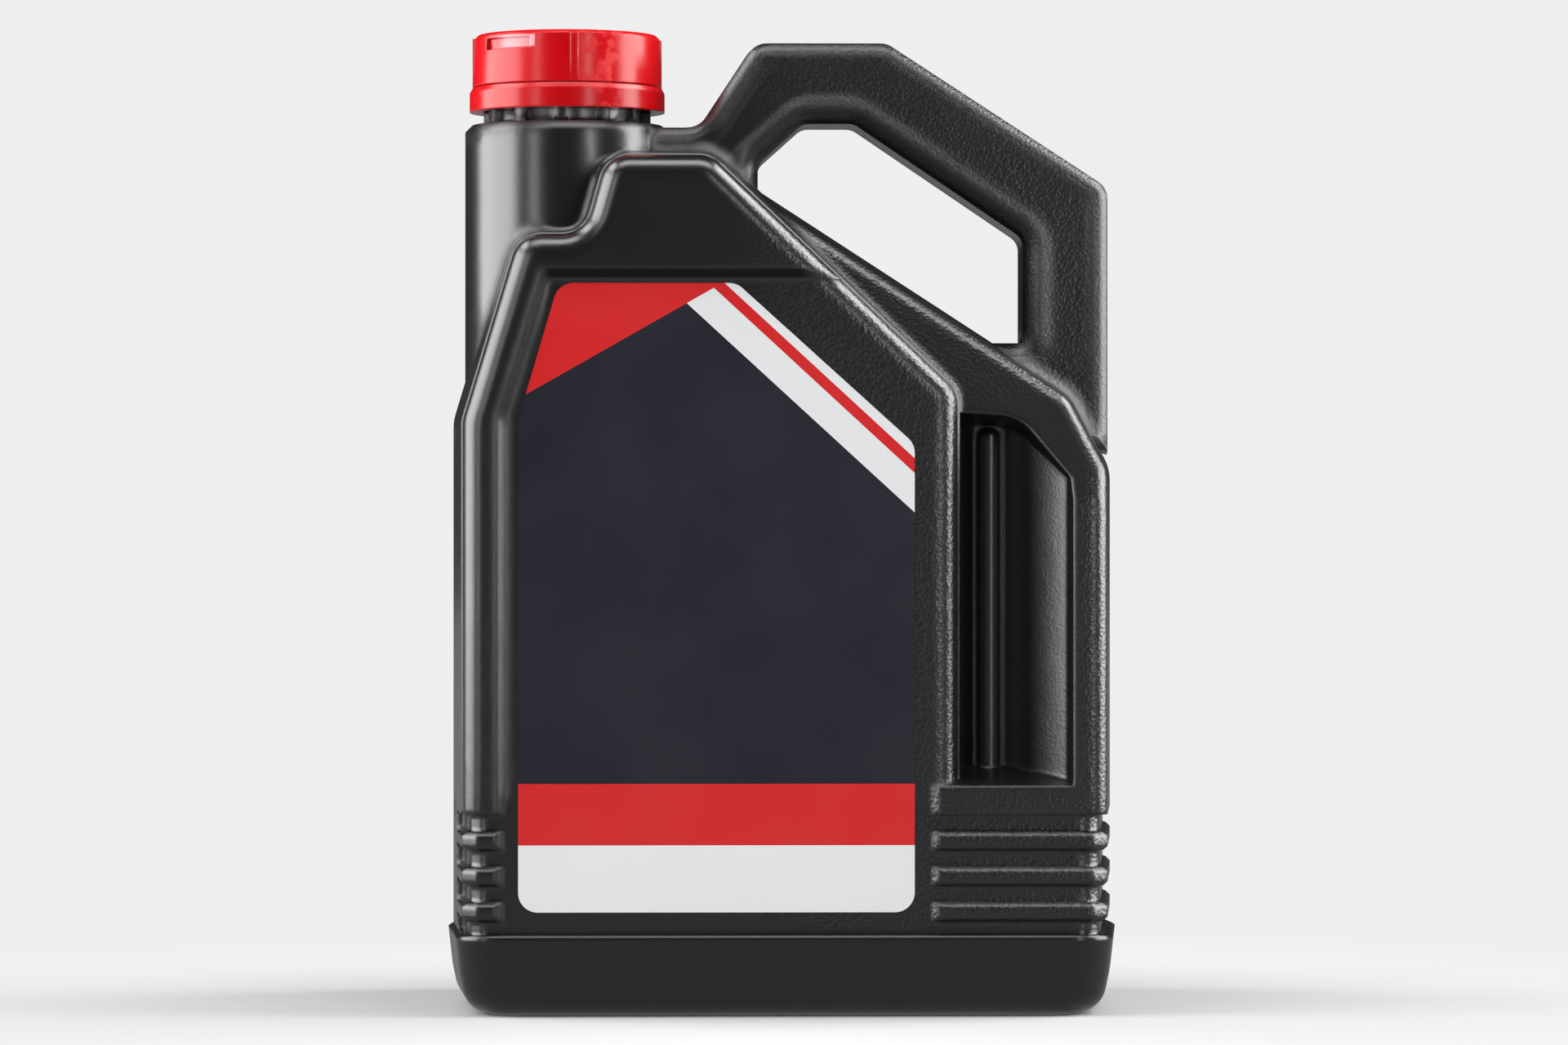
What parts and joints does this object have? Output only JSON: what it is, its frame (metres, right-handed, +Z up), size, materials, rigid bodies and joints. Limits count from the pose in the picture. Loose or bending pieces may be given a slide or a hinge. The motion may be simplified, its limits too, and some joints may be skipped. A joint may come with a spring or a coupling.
{
  "type": "motor oil bottle",
  "caption": "Black blow-moulded oil jug with a stepped label panel, a side grip recess, a hollow top handle and a red screw cap.",
  "frame": {"origin": "middle of the base, on the ground", "axes": "+Z up, +X towards the handle, front label towards -Y; the mould's parting plane is Y = 0"},
  "size_m": [0.1978, 0.1108, 0.2883],
  "materials": {
    "bottle": "satin, finely textured",
    "front_label": "printed film, satin",
    "tamper_band": "glossy",
    "screw_cap": "glossy",
    "cap_liner": "foamed, matt"
  },
  "bodies": {
    "body": {"bottle": "bottle", "front_label": "front_label", "tamper_band": "tamper_band"},
    "liner": {"cap_liner": "cap_liner"},
    "cap": {"screw_cap": "screw_cap"}
  },
  "joints": [
    {"name": "cap_lift", "type": "slide", "parent": "body", "child": "liner", "axis": [0, 0, 1], "range_m": [0, 0.0152]},
    {"name": "cap_turn", "type": "hinge", "parent": "liner", "child": "cap", "pos_m": [-0.0641, 0, 0.28], "axis": [0, 0, 1], "range_deg": [0, 900]}
  ],
  "couplings": [
    {"joint": "cap_lift", "follows": "cap_turn", "m_per_rad": 0.00095493}
  ]
}
